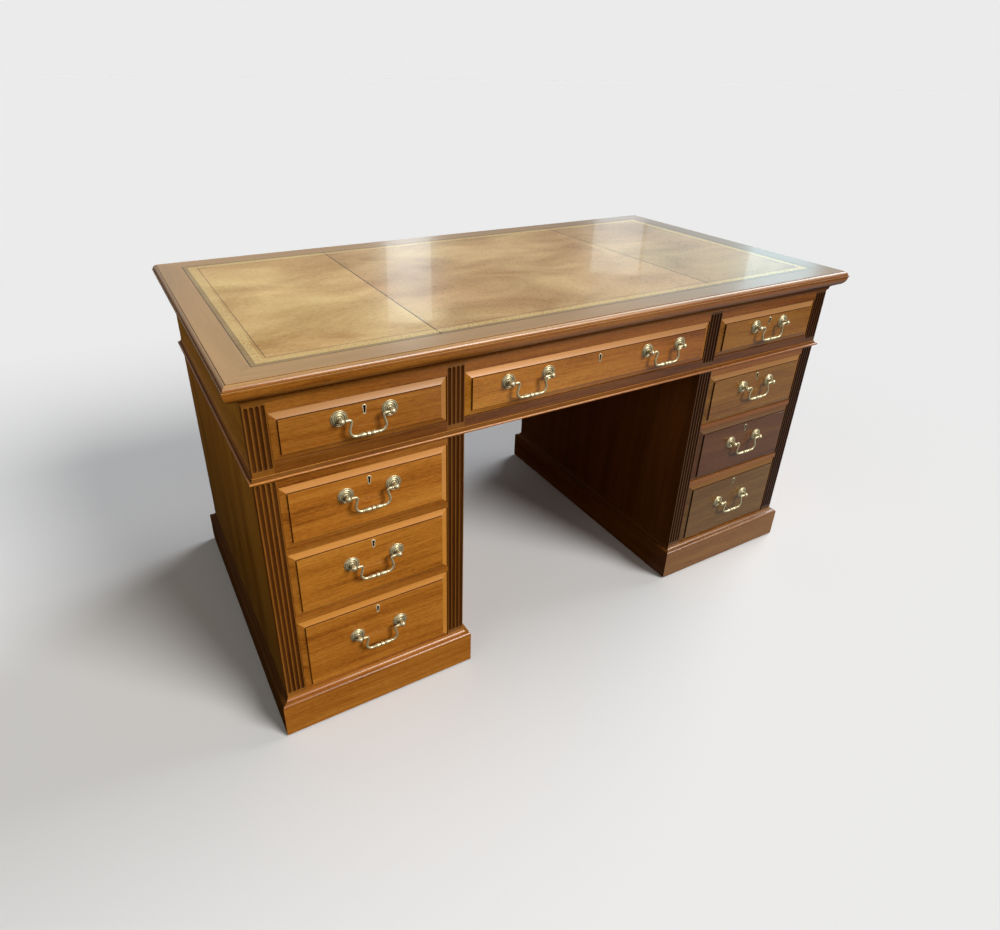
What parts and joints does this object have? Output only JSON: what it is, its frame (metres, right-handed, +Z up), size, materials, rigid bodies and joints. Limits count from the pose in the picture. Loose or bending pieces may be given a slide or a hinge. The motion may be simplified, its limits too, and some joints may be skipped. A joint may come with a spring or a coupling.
{
  "type": "pedestal desk",
  "caption": "Pedestal desk with an inset leather top, fluted pilasters, raised and fielded drawers with swan-neck bail handles, and an open kneehole.",
  "frame": {"origin": "on the floor under the middle of the desk", "axes": "+X to the right as seen from the front, +Y to the back, +Z up"},
  "size_m": [1.44, 0.764, 0.77],
  "materials": {
    "polished_wood": "polished",
    "drawer_wood": "planed, unpolished",
    "leather": "waxed, mottled",
    "brass": "antique, satin",
    "glide": "matt"
  },
  "bodies": {
    "desk": {"top_frame": "polished_wood", "top_panel": "polished_wood", "leather_skins": "leather", "cornice_moulding": "polished_wood", "waist_moulding": "polished_wood", "left_plinth": "polished_wood", "right_plinth": "polished_wood", "glides": "glide", "frieze_case": "polished_wood", "right_pedestal_case": "polished_wood", "left_pedestal_case": "polished_wood", "drawer_rails": "polished_wood", "drawer_runners": "drawer_wood", "fluted_pilasters": "polished_wood"},
    "centre_drawer": {"centre_drawer_front": "polished_wood", "centre_drawer_box": "drawer_wood", "centre_drawer_fittings": "brass"},
    "centre_drawer_lock_bolt": {"centre_drawer_lock_bolt": "brass"},
    "centre_drawer_left_bail": {"centre_drawer_left_bail": "brass"},
    "centre_drawer_right_bail": {"centre_drawer_right_bail": "brass"},
    "left_frieze_drawer": {"left_frieze_drawer_front": "polished_wood", "left_frieze_drawer_box": "drawer_wood", "left_frieze_drawer_fittings": "brass"},
    "left_frieze_drawer_lock_bolt": {"left_frieze_drawer_lock_bolt": "brass"},
    "left_frieze_drawer_bail": {"left_frieze_drawer_bail": "brass"},
    "left_upper_drawer": {"left_upper_drawer_front": "polished_wood", "left_upper_drawer_box": "drawer_wood", "left_upper_drawer_fittings": "brass"},
    "left_upper_drawer_lock_bolt": {"left_upper_drawer_lock_bolt": "brass"},
    "left_upper_drawer_bail": {"left_upper_drawer_bail": "brass"},
    "left_middle_drawer": {"left_middle_drawer_front": "polished_wood", "left_middle_drawer_box": "drawer_wood", "left_middle_drawer_fittings": "brass"},
    "left_middle_drawer_lock_bolt": {"left_middle_drawer_lock_bolt": "brass"},
    "left_middle_drawer_bail": {"left_middle_drawer_bail": "brass"},
    "left_lower_drawer": {"left_lower_drawer_front": "polished_wood", "left_lower_drawer_box": "drawer_wood", "left_lower_drawer_fittings": "brass"},
    "left_lower_drawer_lock_bolt": {"left_lower_drawer_lock_bolt": "brass"},
    "left_lower_drawer_bail": {"left_lower_drawer_bail": "brass"},
    "right_frieze_drawer": {"right_frieze_drawer_front": "polished_wood", "right_frieze_drawer_box": "drawer_wood", "right_frieze_drawer_fittings": "brass"},
    "right_frieze_drawer_lock_bolt": {"right_frieze_drawer_lock_bolt": "brass"},
    "right_frieze_drawer_bail": {"right_frieze_drawer_bail": "brass"},
    "right_upper_drawer": {"right_upper_drawer_front": "polished_wood", "right_upper_drawer_box": "drawer_wood", "right_upper_drawer_fittings": "brass"},
    "right_upper_drawer_lock_bolt": {"right_upper_drawer_lock_bolt": "brass"},
    "right_upper_drawer_bail": {"right_upper_drawer_bail": "brass"},
    "right_middle_drawer": {"right_middle_drawer_front": "polished_wood", "right_middle_drawer_box": "drawer_wood", "right_middle_drawer_fittings": "brass"},
    "right_middle_drawer_lock_bolt": {"right_middle_drawer_lock_bolt": "brass"},
    "right_middle_drawer_bail": {"right_middle_drawer_bail": "brass"},
    "right_lower_drawer": {"right_lower_drawer_front": "polished_wood", "right_lower_drawer_box": "drawer_wood", "right_lower_drawer_fittings": "brass"},
    "right_lower_drawer_lock_bolt": {"right_lower_drawer_lock_bolt": "brass"},
    "right_lower_drawer_bail": {"right_lower_drawer_bail": "brass"}
  },
  "joints": [
    {"name": "centre_drawer_slide", "type": "slide", "parent": "desk", "child": "centre_drawer", "axis": [0, -1, 0], "range_m": [0, 0.43]},
    {"name": "centre_drawer_lock_throw", "type": "slide", "parent": "centre_drawer", "child": "centre_drawer_lock_bolt", "axis": [0, 0, 1], "range_m": [0, 0.007]},
    {"name": "centre_drawer_left_bail_swing", "type": "hinge", "parent": "centre_drawer", "child": "centre_drawer_left_bail", "pos_m": [-0.17, -0.3725, 0.6685], "axis": [-1, 0, 0], "range_deg": [-15, 195]},
    {"name": "centre_drawer_right_bail_swing", "type": "hinge", "parent": "centre_drawer", "child": "centre_drawer_right_bail", "pos_m": [0.17, -0.3725, 0.6685], "axis": [-1, 0, 0], "range_deg": [-15, 195]},
    {"name": "left_frieze_drawer_slide", "type": "slide", "parent": "desk", "child": "left_frieze_drawer", "axis": [0, -1, 0], "range_m": [0, 0.43]},
    {"name": "left_frieze_drawer_lock_throw", "type": "slide", "parent": "left_frieze_drawer", "child": "left_frieze_drawer_lock_bolt", "axis": [0, 0, 1], "range_m": [0, 0.007]},
    {"name": "left_frieze_drawer_bail_swing", "type": "hinge", "parent": "left_frieze_drawer", "child": "left_frieze_drawer_bail", "pos_m": [-0.4975, -0.3725, 0.6685], "axis": [-1, 0, 0], "range_deg": [-15, 195]},
    {"name": "left_upper_drawer_slide", "type": "slide", "parent": "desk", "child": "left_upper_drawer", "axis": [0, -1, 0], "range_m": [0, 0.43]},
    {"name": "left_upper_drawer_lock_throw", "type": "slide", "parent": "left_upper_drawer", "child": "left_upper_drawer_lock_bolt", "axis": [0, 0, 1], "range_m": [0, 0.007]},
    {"name": "left_upper_drawer_bail_swing", "type": "hinge", "parent": "left_upper_drawer", "child": "left_upper_drawer_bail", "pos_m": [-0.4975, -0.3725, 0.5175], "axis": [-1, 0, 0], "range_deg": [-15, 195]},
    {"name": "left_middle_drawer_slide", "type": "slide", "parent": "desk", "child": "left_middle_drawer", "axis": [0, -1, 0], "range_m": [0, 0.43]},
    {"name": "left_middle_drawer_lock_throw", "type": "slide", "parent": "left_middle_drawer", "child": "left_middle_drawer_lock_bolt", "axis": [0, 0, 1], "range_m": [0, 0.007]},
    {"name": "left_middle_drawer_bail_swing", "type": "hinge", "parent": "left_middle_drawer", "child": "left_middle_drawer_bail", "pos_m": [-0.4975, -0.3725, 0.3655], "axis": [-1, 0, 0], "range_deg": [-15, 195]},
    {"name": "left_lower_drawer_slide", "type": "slide", "parent": "desk", "child": "left_lower_drawer", "axis": [0, -1, 0], "range_m": [0, 0.43]},
    {"name": "left_lower_drawer_lock_throw", "type": "slide", "parent": "left_lower_drawer", "child": "left_lower_drawer_lock_bolt", "axis": [0, 0, 1], "range_m": [0, 0.007]},
    {"name": "left_lower_drawer_bail_swing", "type": "hinge", "parent": "left_lower_drawer", "child": "left_lower_drawer_bail", "pos_m": [-0.4975, -0.3725, 0.1885], "axis": [-1, 0, 0], "range_deg": [-15, 195]},
    {"name": "right_frieze_drawer_slide", "type": "slide", "parent": "desk", "child": "right_frieze_drawer", "axis": [0, -1, 0], "range_m": [0, 0.43]},
    {"name": "right_frieze_drawer_lock_throw", "type": "slide", "parent": "right_frieze_drawer", "child": "right_frieze_drawer_lock_bolt", "axis": [0, 0, 1], "range_m": [0, 0.007]},
    {"name": "right_frieze_drawer_bail_swing", "type": "hinge", "parent": "right_frieze_drawer", "child": "right_frieze_drawer_bail", "pos_m": [0.4975, -0.3725, 0.6685], "axis": [-1, 0, 0], "range_deg": [-15, 195]},
    {"name": "right_upper_drawer_slide", "type": "slide", "parent": "desk", "child": "right_upper_drawer", "axis": [0, -1, 0], "range_m": [0, 0.43]},
    {"name": "right_upper_drawer_lock_throw", "type": "slide", "parent": "right_upper_drawer", "child": "right_upper_drawer_lock_bolt", "axis": [0, 0, 1], "range_m": [0, 0.007]},
    {"name": "right_upper_drawer_bail_swing", "type": "hinge", "parent": "right_upper_drawer", "child": "right_upper_drawer_bail", "pos_m": [0.4975, -0.3725, 0.5175], "axis": [-1, 0, 0], "range_deg": [-15, 195]},
    {"name": "right_middle_drawer_slide", "type": "slide", "parent": "desk", "child": "right_middle_drawer", "axis": [0, -1, 0], "range_m": [0, 0.43]},
    {"name": "right_middle_drawer_lock_throw", "type": "slide", "parent": "right_middle_drawer", "child": "right_middle_drawer_lock_bolt", "axis": [0, 0, 1], "range_m": [0, 0.007]},
    {"name": "right_middle_drawer_bail_swing", "type": "hinge", "parent": "right_middle_drawer", "child": "right_middle_drawer_bail", "pos_m": [0.4975, -0.3725, 0.3655], "axis": [-1, 0, 0], "range_deg": [-15, 195]},
    {"name": "right_lower_drawer_slide", "type": "slide", "parent": "desk", "child": "right_lower_drawer", "axis": [0, -1, 0], "range_m": [0, 0.43]},
    {"name": "right_lower_drawer_lock_throw", "type": "slide", "parent": "right_lower_drawer", "child": "right_lower_drawer_lock_bolt", "axis": [0, 0, 1], "range_m": [0, 0.007]},
    {"name": "right_lower_drawer_bail_swing", "type": "hinge", "parent": "right_lower_drawer", "child": "right_lower_drawer_bail", "pos_m": [0.4975, -0.3725, 0.1885], "axis": [-1, 0, 0], "range_deg": [-15, 195]}
  ]
}
